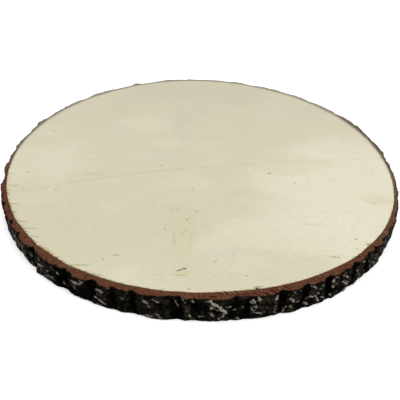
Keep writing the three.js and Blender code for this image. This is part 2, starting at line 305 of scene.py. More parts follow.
bark = {
    "columns": 1600,
    "crowding": 0.2,        # share by which the columns crowd together on the near side
    "gap": 0.04,            # mm between the wood and the bark
    "least": 1.0,           # mm of bark left behind the deepest point
    "sway": (0.2, 0.9, 0.5),        # mm a furrow wanders at the top, half way and at the foot
    "wobble": 0.9,          # mm, the finer wandering of its edges
    "span": 4.5,            # mm either side in which the highest point counts as the scales' own level
    "sharpen": 0.7,         # mm cut deeper in the furrows
    "shoulder": 0.4,        # share of a shallow dip that is left beside a furrow, so its sides are steep
    "scaleSize": (3.4, 4.4),        # mm, the scales that dry bark cracks into
    "scaleStep": 0.95,      # mm between high and low scales
    "crackDepth": 0.4,      # mm
    "crumbSize": (1.3, 1.6),        # mm, the crumbs that a scale is made of
    "crumbStep": 0.3,       # mm
    "grit": 0.2,            # mm
    "even": 0.2,            # mm added all over, so that what the cracks take off is made up
    "crustLift": 0.2,       # mm that the crust stands up
    "hollowDepth": 0.35,    # mm
    "rimSpan": (12, 6),     # mm up where the rim's own edge starts to count, and mm on to where it is all
    "footSpan": 8,          # mm up to where the foot's swellings have gone
    "tearDepth": 0.3,       # mm
    "splinterLift": 0.15,   # mm
    # the noises: mm round the slice, mm up it or out over the rim, seed
    "noises": {
        "sway": (7.0, 5.0, 21), "wobble": (1.7, 2.2, 28), "rugged": (1.2, 1.5, 29), "grit": (0.8, 0.8, 24),
        "brown": (7, 6, 34), "hollow": (5, 7, 35), "hollowEdge": (1.4, 1.4, 36),
        "wanderRound": (1.8, 1.6, 31), "wanderUp": (1.6, 1.8, 32), "broken": (1.0, 0.9, 33),
        "fuzz": (0.9, 0.5, 26), "rimCut": (2.5, 0.8, 25), "footCut": (2.5, 0.8, 27),
    },
    "faceOn": 0.35,         # share of a sight line that has to run outward for a mark to be moved along it
    # degrees and mm: how far the foot stands out beyond the solid's, all of it within the lower 8 mm
    "foot": [
        (190, 0), (193, -0.9), (197, -0.3), (200, 0), (219, 0.3), (222, 0), (225, -0.3), (228.3, 0.3),
        (229.5, 1.8), (230.8, 0.6), (231.5, 0), (237, 0.5), (240, 0), (243, -0.3), (246, 1.2), (249, 0.1),
        (254, 0.9), (258, 0), (264, 0.7), (268, -0.1), (271, -0.5), (276, -0.3), (279, 0.4), (283, -0.2),
        (291, 0), (294, 0.6), (297, 0), (300, 0.5), (303, 0), (306, 0.6), (309, -0.4), (312, -0.5),
        (315, 0), (333, 0.3),
    ],
    # degrees and mm: how far the face may stand out beyond the rim
    "bulge": [(90, 4), (170, 4), (183, 0.1), (201, 0.1), (206, 4)],
    "markedOn": 4.6,        # mm beyond the wood: the even rim that the marks below were measured on
    "nearSide": (180, 358), # degrees, where the scales and the crust are placed one by one
    # the rim's outer edge, notched by the furrows: degrees, and mm from the solid's wood, read by eye; below
    # 180 degrees about 0.9 mm was added, as a render showed the rim that much narrower than its values
    "rimEdge": [
        (0, 3.8), (1.5, 3.4), (3.5, 4.6), (9, 4.5), (10.7, 3.7), (13, 4.4), (15, 3.9), (18, 4.8), (20, 5.6),
        (21.5, 6.4), (22.4, 4.0), (24, 5.1), (28, 5.2), (29.5, 4.5), (31.5, 2.6), (34, 3.6), (41, 3.4),
        (43.5, 2.2), (45, 1.8), (47, 2.9), (51.5, 3.6), (54.5, 1.8), (57, 2.1), (58.5, 3.1), (60.5, 3.0),
        (62, 1.8), (64.5, 3.0), (66.5, 1.9), (69.5, 0.8), (72.5, 1.2), (74, 2.8), (77, 2.7), (79, 1.8),
        (82, 1.2), (84.5, 1.9), (89, 1.8), (92, 1.3), (95.5, 2.7), (97.5, 1.2), (101.5, 2.6), (105, 2.7),
        (108.5, 1.4), (110.5, 0.5), (115, 0.5), (117.5, 4.3), (120, 0.6), (126, 0.5), (128, 2.0),
        (132, 2.4), (134.5, 3.2), (138.5, 1.4), (141.5, 1.1), (143, 2.6), (146.5, 2.6), (148, 1.7),
        (149, 3.1), (150.5, 1.7), (152, 2.5), (155, 2.4), (159.5, 1.9), (161, 3.4), (163.3, 4.0),
        (165, 1.9), (167, 2.2), (170.5, 1.2), (172.5, 1.9), (177, 2.5), (178.7, 3.2), (180, 1.5),
        (182.5, 2.2), (185.5, 2.5), (187.5, 1.9), (188.5, 2.8), (189.2, 3.3), (190.5, 3.4), (192.5, 3.1),
        (194, 2.3), (195.5, 2.0), (197, 2.3), (198.5, 2.9), (199.2, 3.8), (204, 3.8), (205, 3.4),
        (206, 4.1), (207.5, 4.2), (208.0, 3.5), (208.5, 2.3), (209.0, 2.8), (209.6, 3.6), (210.5, 4.1),
        (214.5, 4.1), (216.0, 3.8), (216.4, 2.9), (216.9, 2.3), (217.4, 3.1), (218.0, 4.3), (220.3, 4.8),
        (221.2, 4.2), (221.6, 3.3), (222.0, 2.7), (222.5, 3.5), (223.0, 4.5), (223.8, 5.3), (225.0, 5.7),
        (226.5, 5.3), (227.0, 4.7), (228.2, 3.8), (228.7, 2.7), (229.3, 3.2), (229.8, 3.9), (230.5, 4.2),
        (231.5, 4.7), (233.0, 5.1), (235.0, 5.3), (236.5, 5.5), (237.0, 5.0), (237.4, 4.3), (237.8, 4.9),
        (238.6, 5.2), (239.2, 4.2), (239.8, 3.5), (240.2, 3.8), (240.7, 4.3), (241.4, 4.5), (242.0, 5.1),
        (242.5, 6.1), (244.0, 6.3), (245.3, 6.0), (246.0, 5.2), (246.4, 4.2), (246.7, 3.5), (247.8, 3.5),
        (248.3, 4.2), (248.7, 5.0), (249.3, 5.7), (250.5, 5.7), (251.1, 5.5), (251.4, 4.9), (252.0, 4.6),
        (253.5, 4.7), (255.4, 4.6), (255.7, 3.9), (256.2, 3.4), (256.6, 3.5), (257.0, 4.2), (257.8, 4.9),
        (258.8, 5.5), (260.0, 5.6), (260.6, 5.1), (261.5, 4.9), (262.4, 5.2), (263.3, 4.7), (264.0, 4.1),
        (265.0, 3.5), (266.3, 3.5), (266.8, 3.9), (267.2, 5.0), (268.0, 5.5), (269.0, 5.2), (269.5, 4.5),
        (270.0, 4.9), (271.0, 5.2), (272.0, 5.2), (274.5, 5.6), (276.5, 5.5), (277.8, 5.0), (278.2, 4.4),
        (278.6, 3.7), (279.5, 4.2), (280.5, 4.5), (281.5, 4.7), (282.5, 5.0), (283.2, 5.4), (284.5, 5.8),
        (286.5, 5.8), (287.3, 5.4), (287.8, 5.0), (288.4, 4.3), (288.9, 3.5), (289.3, 4.2), (289.7, 4.9),
        (290.3, 5.2), (291.0, 5.8), (293.0, 5.9), (293.6, 5.3), (294.3, 4.5), (294.9, 3.7), (295.15, 3.8),
        (295.4, 5.0), (295.7, 5.8), (297.0, 5.7), (298.6, 5.6), (299.0, 5.3), (299.5, 4.5), (300.0, 4.0),
        (300.7, 3.8), (301.2, 4.2), (301.5, 5.0), (302.3, 5.4), (303.5, 5.5), (304.3, 5.3), (305.0, 4.7),
        (307.0, 4.9), (307.8, 4.5), (308.3, 3.5), (308.6, 2.7), (309.0, 3.5), (309.5, 4.5), (310.2, 5.0),
        (311.0, 5.0), (311.5, 4.7), (312.2, 4.2), (313.0, 4.3), (313.7, 3.8), (314.1, 3.4), (314.5, 3.9),
        (315.0, 4.5), (315.7, 4.7), (316.2, 4.2), (316.7, 2.7), (317.0, 3.7), (317.2, 4.4), (318.0, 4.9),
        (319.0, 5.3), (319.8, 5.3), (320.2, 4.3), (320.5, 3.8), (321.8, 3.9), (322.5, 4.5), (324.0, 4.7),
        (324.8, 4.0), (325.2, 3.5), (325.7, 3.3), (326.2, 3.7), (327.0, 4.5), (328.2, 5.0), (329.5, 4.8),
        (330.8, 4.2), (331.4, 3.5), (331.8, 3.0), (333.0, 3.5), (333.6, 4.0), (335.0, 3.9), (336.5, 3.9),
        (338.0, 3.8), (339.5, 3.4), (340.3, 3.0), (341.5, 3.2), (342.5, 3.6), (344.5, 3.6), (345.4, 2.8),
        (346.5, 3.2), (348.0, 3.9), (349.5, 3.6), (351.0, 3.6), (352.3, 3.8), (353.3, 3.3), (354.2, 2.8),
        (355.0, 3.0), (356.7, 3.8), (358.0, 3.3), (359.5, 2.9),
    ],
    # degrees, and degrees round the slice that the furrow there is shifted at 2, 7, 12 and 17 mm up
    "lean": [
        (236.0, 0, 0, 0, 0), (239.3, -0.3, -0.5, -0.2, 0.1), (243.5, -0.3, -0.2, 0, 0),
        (247.0, -1.2, -0.6, -0.2, 0.2), (249.8, -0.6, -0.5, -0.2, 0), (252.6, -0.5, -0.8, -0.4, -0.2),
        (254.5, 0, 0, 0, 0), (256.3, 0.3, 0.2, 0.2, 0.3), (260.0, 0, 0, 0, 0), (265.6, 0.7, 0.6, 0.2, 0.4),
        (268.0, 0.3, 0.2, 0, 0), (275.0, 0, 0, 0, 0), (278.7, -1.1, -0.8, -0.2, -0.1),
        (281.4, -0.4, -0.5, -0.3, -0.2), (285.0, 0, 0, 0, 0), (289.0, -0.2, 0.2, 0.1, -0.1),
        (291.8, -0.2, -0.2, 0, 0), (294.7, -0.3, -0.7, -0.3, 0.2), (297.5, 0, 0, 0, 0),
        (300.6, 0.1, 0.3, 0.3, 0), (304.0, 0, 0, 0, 0), (308.4, -0.1, 0.4, 0.2, -0.3), (311.0, 0, 0, 0, 0),
        (313.7, 0.6, -0.2, -0.1, -0.3), (317.0, 0, 0, 0, 0),
    ],
    # degrees and share: how thick the fine lace of crust lies on the near side
    "lace": [
        (205, 0.4), (222, 0.5), (232, 0.4), (236, 0.2), (243, 0.4), (250, 0.3), (262, 0.4), (275, 0.35),
        (280, 0.25), (294, 0.35), (297, 0.5), (304, 0.6), (325, 0.7), (345, 0.5),
    ],
    # degrees, then how grey the sawn rim and the face are there: on the rim painted sheen, strongest on the far
    # side, on the face weathered grey
    "weatherAndSheen": [
        (0, 0.6, 0.4), (20, 0.6, 0.35), (30, 0.75, 0.3), (38, 0.9, 0.3), (60, 1.0, 0.3), (115, 1.0, 0.3),
        (117, 0.75, 0.3), (119, 0.95, 0.3), (128, 0.9, 0.3), (160, 0.8, 0.35), (163, 0.7, 0.35),
        (170, 0.8, 0.35), (180, 0.65, 0.4), (188, 0.28, 0.45), (195, 0.05, 0.5), (208, 0.0, 0.5),
        (222, 0, 0.6), (232, 0, 0.55), (240, 0, 0), (300, 0, 0), (308, 0, 0.5), (320, 0.1, 0.55),
        (335, 0.2, 0.5), (345, 0.28, 0.45), (352, 0.42, 0.45),
    ],
    # brown scales on the near side: angle, height, half width and half height in mm
    "brownScales": [
        (275.4, 15.4, 3.0, 1.9), (285.3, 9.8, 4.1, 6.5), (290.6, 11.1, 3.2, 3.8), (291.6, 1.3, 2.6, 3.1),
        (296.6, 10.8, 3.4, 3.5), (299.5, 14.5, 2.4, 3.9), (262.7, 15.8, 4.4, 2.6), (268.9, 9.0, 2.3, 3.9),
        (250.9, 13.0, 2.5, 3.5), (224.4, 9.6, 2.2, 3.9), (233.7, 2.7, 3.3, 3.0), (232.2, 9.7, 2.5, 3.1),
        (242.3, 10.9, 3.2, 2.4), (291.7, 14.1, 2.6, 3.0), (303.1, 10.1, 2.7, 3.6), (309.1, 5.3, 2.1, 2.6),
        (310.6, 6.0, 2.4, 4.0), (328.5, 11.0, 3.6, 5.0), (334.0, 10.0, 3.4, 5.0), (318.5, 8.8, 2.7, 3.3),
        (321.9, 8.5, 2.2, 2.8), (274.9, 5.0, 1.0, 1.9), (261.0, 2.6, 3.1, 1.6), (249.8, 9.1, 3.4, 3.3),
        (234.0, 11.4, 2.0, 2.2), (229.6, 5.2, 2.0, 2.0),
    ],
    # hollows there, sunk and painted black as painted shade, in the same form
    "hollows": [
        (270.8, 12.0, 2.2, 5.0), (274.8, 7.0, 1.5, 3.6), (277.8, 4.0, 1.4, 3.5), (272.4, 9.6, 1.2, 3.0),
        (284.6, 9.9, 2.4, 0.5), (286.6, 9.0, 1.8, 0.5), (296.8, 2.6, 2.3, 1.6), (303.2, 6.0, 1.8, 2.2),
        (299.3, 5.0, 1.1, 4.0), (244.5, 5.0, 3.0, 5.5), (250.6, 10.4, 1.0, 4.0), (251.6, 2.6, 2.4, 2.2),
        (266.6, 8.0, 2.2, 8.0), (270.8, 5.6, 1.4, 1.6), (237.9, 9.0, 3.6, 9.0), (241.4, 4.0, 3.2, 3.2),
        (234.6, 8.0, 2.2, 0.9), (226.0, 8.0, 1.5, 4.0), (262.6, 9.0, 1.4, 3.4), (293.4, 2.2, 1.2, 2.0),
        (291.0, 13.6, 0.9, 2.0), (294.0, 10.6, 0.9, 3.6), (309.4, 8.4, 1.8, 0.9), (304.6, 11.6, 0.8, 2.6),
        (313.1, 14.5, 1.7, 4.0), (313.8, 9.0, 2.1, 4.5), (314.8, 3.6, 1.9, 3.2), (321.0, 14.0, 1.5, 3.5),
    ],
    # strokes of pale crust on the near side: width in mm, strength, then angle and height along each
    "crust": [
        (0.8, 0.4, [(217.7, 8.2), (220.5, 15.0)]), (1.3, 0.45, [(223.0, 13.2), (223.8, 12.0)]),
        (0.9, 0.35, [(223.2, 10.2), (224.8, 7.5)]), (1.2, 0.55, [(228.3, 11.2), (229.0, 11.8)]),
        (2.0, 0.65, [(230.6, 8.9), (231.9, 9.7)]), (1.0, 0.5, [(231.4, 16.2), (231.9, 14.6)]),
        (1.0, 0.6, [(233.3, 8.0), (233.9, 8.8)]), (1.2, 0.4, [(235.0, 5.4), (235.6, 4.6)]),
        (2.2, 0.25, [(233.2, 4.0), (234.6, 4.4)]), (1.3, 0.7, [(235.3, 13.6), (235.9, 12.6)]),
        (1.4, 0.75, [(237.0, 12.2), (237.6, 11.4)]), (0.8, 0.4, [(239.4, 7.9), (239.6, 7.4)]),
        (0.8, 0.5, [(240.8, 7.0), (241.2, 7.7)]), (0.8, 0.5, [(241.8, 7.9), (242.2, 7.5)]),
        (2.1, 0.8, [(241.9, 11.4), (242.6, 12.2)]), (1.3, 0.75, [(242.9, 12.3), (243.7, 12.5)]),
        (1.1, 0.7, [(244.3, 14.7), (244.8, 15.1)]), (1.5, 0.75, [(248.2, 14.2), (249.0, 12.4)]),
        (1.1, 0.65, [(249.0, 12.4), (249.7, 12.8)]),
        (1.5, 0.65, [(247.7, 7.2), (249.0, 5.0), (250.0, 2.9)]), (0.9, 0.4, [(247.3, 0.6), (248.6, 0.3)]),
        (0.9, 0.6, [(250.9, 17.2), (251.3, 16.6)]), (0.8, 0.35, [(253.6, 12.8), (254.4, 11.0)]),
        (1.3, 0.6, [(258.9, 13.6), (259.6, 12.2), (260.3, 9.6)]), (1.2, 0.6, [(259.0, 1.9), (260.4, 0.6)]),
        (1.5, 0.5, [(261.2, 15.5), (262.0, 13.6)]), (1.2, 0.5, [(261.5, 4.4), (262.0, 3.4)]),
        (1.0, 0.5, [(262.2, 1.9), (262.7, 1.6)]), (0.8, 0.7, [(265.9, 16.6), (266.2, 13.0)]),
        (0.9, 0.6, [(267.4, 18.4), (267.6, 17.0)]), (1.0, 0.4, [(267.7, 15.4), (267.9, 14.2)]),
        (1.3, 0.55, [(268.7, 4.8), (269.0, 3.6)]), (0.8, 0.8, [(269.3, 17.4), (269.7, 15.2)]),
        (0.7, 0.3, [(269.9, 7.4), (270.2, 6.6)]), (1.1, 0.9, [(271.1, 3.1), (271.9, 3.1)]),
        (0.8, 0.6, [(271.6, 15.6), (272.2, 15.9), (273.2, 16.4)]),
        (0.7, 0.4, [(272.6, 13.4), (273.4, 13.2)]),
        (1.9, 1, [(273.3, 16.6), (274.0, 14.6), (275.0, 11.9), (275.7, 9.5), (276.3, 7.9), (276.6, 6.2)]),
        (1.8, 0.95, [(276.6, 6.2), (276.2, 4.2), (275.4, 2.2)]),
        (1.5, 0.85, [(273.6, 12.0), (273.8, 11.0)]),
        (1.1, 0.75, [(272.9, 7.2), (273.5, 6.4), (273.7, 4.6)]), (0.7, 0.5, [(273.9, 6.2), (274.0, 3.4)]),
        (0.7, 0.35, [(274.4, 9.4), (275.1, 8.4)]), (1.2, 0.75, [(276.9, 11.3), (277.4, 11.8)]),
        (1.1, 0.75, [(278.3, 9.8), (278.6, 9.0)]), (0.8, 0.35, [(280.1, 11.9), (280.3, 10.9)]),
        (0.9, 0.5, [(279.2, 2.4), (279.5, 1.0)]), (2.2, 0.8, [(282.1, 14.7), (282.6, 13.7)]),
        (1.1, 0.7, [(283.5, 16.8), (283.9, 14.4)]),
        (0.9, 0.8, [(282.2, 10.4), (282.9, 10.5), (283.2, 9.2)]),
        (0.9, 0.75, [(282.5, 9.4), (282.1, 8.2), (282.4, 6.8)]), (0.8, 0.6, [(282.4, 6.8), (283.0, 7.6)]),
        (1.1, 0.5, [(282.5, 5.6), (282.6, 4.6)]), (1.3, 0.8, [(283.6, 3.8), (284.5, 2.9)]),
        (1.6, 0.75, [(287.6, 15.2), (287.8, 12.6)]), (0.8, 0.5, [(287.3, 10.8), (287.5, 9.4)]),
        (1.0, 0.6, [(287.6, 7.6), (287.7, 5.0)]), (0.9, 0.6, [(287.7, 2.2), (288.1, 0.2)]),
        (1.0, 0.9, [(291.3, 10.6), (291.9, 8.2), (292.3, 6.8), (293.3, 6.3)]),
        (1.1, 0.85, [(290.4, 4.9), (289.7, 3.2), (289.8, 0.6)]), (0.9, 0.7, [(289.7, 3.2), (290.4, 2.6)]),
        (1.2, 0.5, [(291.3, 3.8), (291.6, 3.0)]), (0.9, 0.4, [(291.8, 1.7), (292.2, 1.2)]),
        (0.8, 0.5, [(291.8, 15.2), (292.3, 14.6)]), (0.8, 0.45, [(293.2, 15.4), (293.5, 14.4)]),
        (1.2, 0.85, [(295.9, 16.4), (296.6, 15.2), (297.4, 13.6)]),
        (1.2, 0.9, [(295.4, 7.2), (295.8, 8.0), (296.6, 6.9), (297.8, 5.8), (298.3, 3.4), (298.7, 1.0)]),
        (1.1, 0.75, [(295.1, 3.8), (295.6, 0.6)]), (0.9, 0.5, [(294.5, 5.6), (295.0, 4.4)]),
        (1.3, 0.9, [(298.3, 12.3), (298.9, 10.9)]), (1.1, 0.6, [(299.2, 14.6), (299.5, 13.2)]),
        (1.1, 0.8, [(298.3, 8.6), (298.5, 7.6)]), (0.9, 0.6, [(299.7, 3.2), (300.1, 2.2)]),
        (1.5, 0.85, [(301.7, 14.6), (302.1, 12.4)]), (1.3, 0.85, [(302.5, 8.6), (302.9, 7.6)]),
        (0.7, 0.5, [(303.0, 10.6), (303.4, 9.9)]), (0.7, 0.5, [(302.3, 16.6), (303.3, 15.2)]),
        (1.4, 0.4, [(301.8, 3.0), (302.5, 0.6)]), (0.9, 0.5, [(303.7, 3.2), (304.1, 2.4)]),
        (0.9, 0.7, [(305.1, 14.6), (305.5, 13.4)]), (1.0, 0.7, [(305.3, 9.8), (305.7, 7.0)]),
        (1.2, 0.75, [(306.4, 12.0), (306.8, 10.6)]), (1.7, 0.85, [(306.6, 6.2), (307.0, 3.8)]),
        (1.5, 0.7, [(306.4, 0.6), (307.3, 1.0)]), (0.7, 0.42, [(309.6, 12.2), (310.6, 9.0), (311.6, 5.6)]),
        (0.7, 0.4, [(309.0, 15.6), (310.4, 13.4)]), (1.0, 0.64, [(311.7, 16.0), (312.3, 15.0)]),
        (1.4, 0.55, [(311.4, 2.2), (312.3, 1.2)]), (0.8, 0.42, [(313.0, 6.4), (313.6, 5.2)]),
        (0.8, 0.34, [(314.6, 16.8), (315.8, 14.2)]), (0.7, 0.38, [(316.2, 15.4), (317.4, 12.4)]),
        (0.7, 0.42, [(315.2, 10.0), (316.6, 7.0), (318.2, 4.0)]), (0.7, 0.42, [(317.1, 9.2), (318.8, 6.0)]),
        (1.0, 0.38, [(317.6, 2.4), (318.8, 1.2)]), (0.7, 0.42, [(319.4, 14.6), (321.0, 11.4)]),
        (1.0, 0.42, [(322.5, 13.4), (323.2, 14.6)]), (0.8, 0.38, [(322.1, 4.4), (323.2, 6.1)]),
        (0.7, 0.42, [(324.0, 16.0), (326.2, 12.0)]), (0.7, 0.34, [(326.0, 8.0), (328.6, 4.6)]),
    ],
    # saw tears in the red-brown rim, as strokes of angle and mm from the wood
    "tears": [
        (1.1, 1.0, [(273.3, 2.5), (274.3, 3.2)]), (1.3, 0.45, [(279.2, 2.4), (281.2, 3.4)]),
        (0.7, 0.7, [(275.2, 1.0), (276.2, 2.6)]), (0.7, 0.7, [(276.6, 1.2), (277.6, 3.2)]),
        (0.7, 0.6, [(278.0, 1.4), (278.6, 2.4)]), (0.7, 0.6, [(280.2, 1.4), (281.6, 2.4)]),
        (0.9, 0.8, [(282.5, 1.5), (283.0, 3.0), (283.5, 4.3)]),
        (1.1, 1.0, [(284.6, 2.6), (285.1, 3.4), (285.6, 4.8)]),
        (1.1, 1.0, [(286.5, 1.8), (286.8, 2.8), (287.3, 4.4)]), (0.8, 0.7, [(287.6, 2.4), (288.1, 3.6)]),
        (0.9, 0.8, [(289.8, 1.8), (290.5, 3.4)]), (1.3, 1.0, [(204.3, 2.8), (204.6, 3.3)]),
        (0.9, 0.6, [(203.0, 2.0), (206.6, 2.4)]), (0.8, 0.6, [(212.0, 1.6), (213.4, 2.2)]),
        (0.8, 0.5, [(197.6, 1.2), (199.0, 1.9)]), (0.7, 0.5, [(292.6, 2.8), (293.0, 3.8)]),
        (1.2, 0.5, [(224.6, 1.8), (224.8, 3.6)]), (0.9, 0.5, [(234.0, 3.6), (234.4, 4.2)]),
        (1.0, 0.6, [(245.4, 2.6), (245.8, 4.2)]), (0.7, 0.6, [(256.9, 1.2), (257.1, 1.8)]),
        (0.7, 0.6, [(269.4, 1.2), (269.6, 2.0)]), (0.9, 0.7, [(310.9, 1.2), (311.1, 2.0)]),
        (1.1, 0.9, [(328.2, 2.8), (328.4, 3.3)]), (1.0, 0.6, [(331.9, 1.4), (332.0, 2.6)]),
        (0.9, 0.9, [(346.0, 1.8), (346.5, 2.2)]), (0.8, 0.8, [(338.5, 2.2), (339.2, 2.8)]),
        (0.7, 0.7, [(274.5, 0.2), (274.9, 0.4)]), (0.7, 0.7, [(278.7, 0.2), (278.8, 0.6)]),
        (0.9, 0.8, [(285.1, 0.6), (285.6, 0.9)]), (0.8, 0.8, [(287.7, 0.7), (287.9, 1.0)]),
        (0.8, 0.8, [(289.5, 1.0), (289.7, 1.3)]),
    ],
    # pale splinters of wood that the saw pulled over the rim
    "splinters": [
        (0.4, 0.9, [(275.8, 0.2), (276.4, 1.9)]), (0.35, 0.9, [(276.9, 0.1), (277.4, 1.7)]),
        (0.35, 0.8, [(277.9, 0.3), (278.4, 1.6)]), (0.35, 0.9, [(279.3, 0.2), (279.7, 1.2)]),
        (0.4, 0.9, [(280.2, 0.3), (280.3, 1.8)]), (0.3, 0.7, [(281.3, 0.1), (281.5, 0.9)]),
        (0.3, 0.7, [(284.4, 0.8), (284.5, 1.8)]), (0.3, 0.7, [(285.6, 0.9), (285.5, 1.7)]),
        (0.4, 0.9, [(288.7, 0.7), (288.4, 2.1)]), (0.35, 0.8, [(289.3, 0.6), (289.1, 1.6)]),
    ],
}


def aroundBark(angles, size):
    # places round the bark counted in cells of about this size in mm, with a whole number of cells
    columns = round(fullTurn * girth / size)
    return angles / fullTurn * columns, columns


def barkNoise(angles, heights, name):
    # patchNoise wrapped round the bark, with the steps and the seed listed under its name
    wide, high, seed = bark["noises"][name]
    across, columns = aroundBark(angles, wide)
    return patchNoise(across, heights / high + 9, seed, columns)


def barkScales(angles, heights, size, seed):
    # scales wrapped round the bark: the number of each, and mm to the nearest other one
    across, columns = aroundBark(angles, size[0])
    number, border = scales(across, heights / size[1] + 9, seed, columns)
    return number, border * size[0]


def lifted(reach, angles, span, slope):
    # each point raised to the highest of its neighbours within the span, less slope mm for each mm away
    highest = reach.copy()
    step = int(span / (fullTurn * girth / len(angles)))
    for shift in range(-step, step + 1):
        turn = (angles - np.roll(angles, shift) + math.pi) % fullTurn - math.pi
        highest = np.maximum(highest, np.roll(reach, shift, axis=1) - slope * np.abs(turn) * girth)
    return highest


def asSeen(angles, heights, reach, plain):
    # where the photo shows each point: the sight line through it is followed until it meets an even rim of
    # the plain radius, as far as the radius still missing divided by the line's outward part
    eyeX, eyeY, eyeZ = camera["place"]
    awayX = reach * np.cos(angles) - eyeX
    awayY = reach * np.sin(angles) - eyeY
    level = np.hypot(awayX, awayY)
    outward = (awayX * np.cos(angles) + awayY * np.sin(angles)) / level
    sideways = (awayY * np.cos(angles) - awayX * np.sin(angles)) / level
    faceOn = bark["faceOn"]
    along = (plain - reach) / np.minimum(outward, -faceOn) * ease(-outward / faceOn)
    return angles + along * sideways / plain, heights + along * (heights - eyeZ) / level


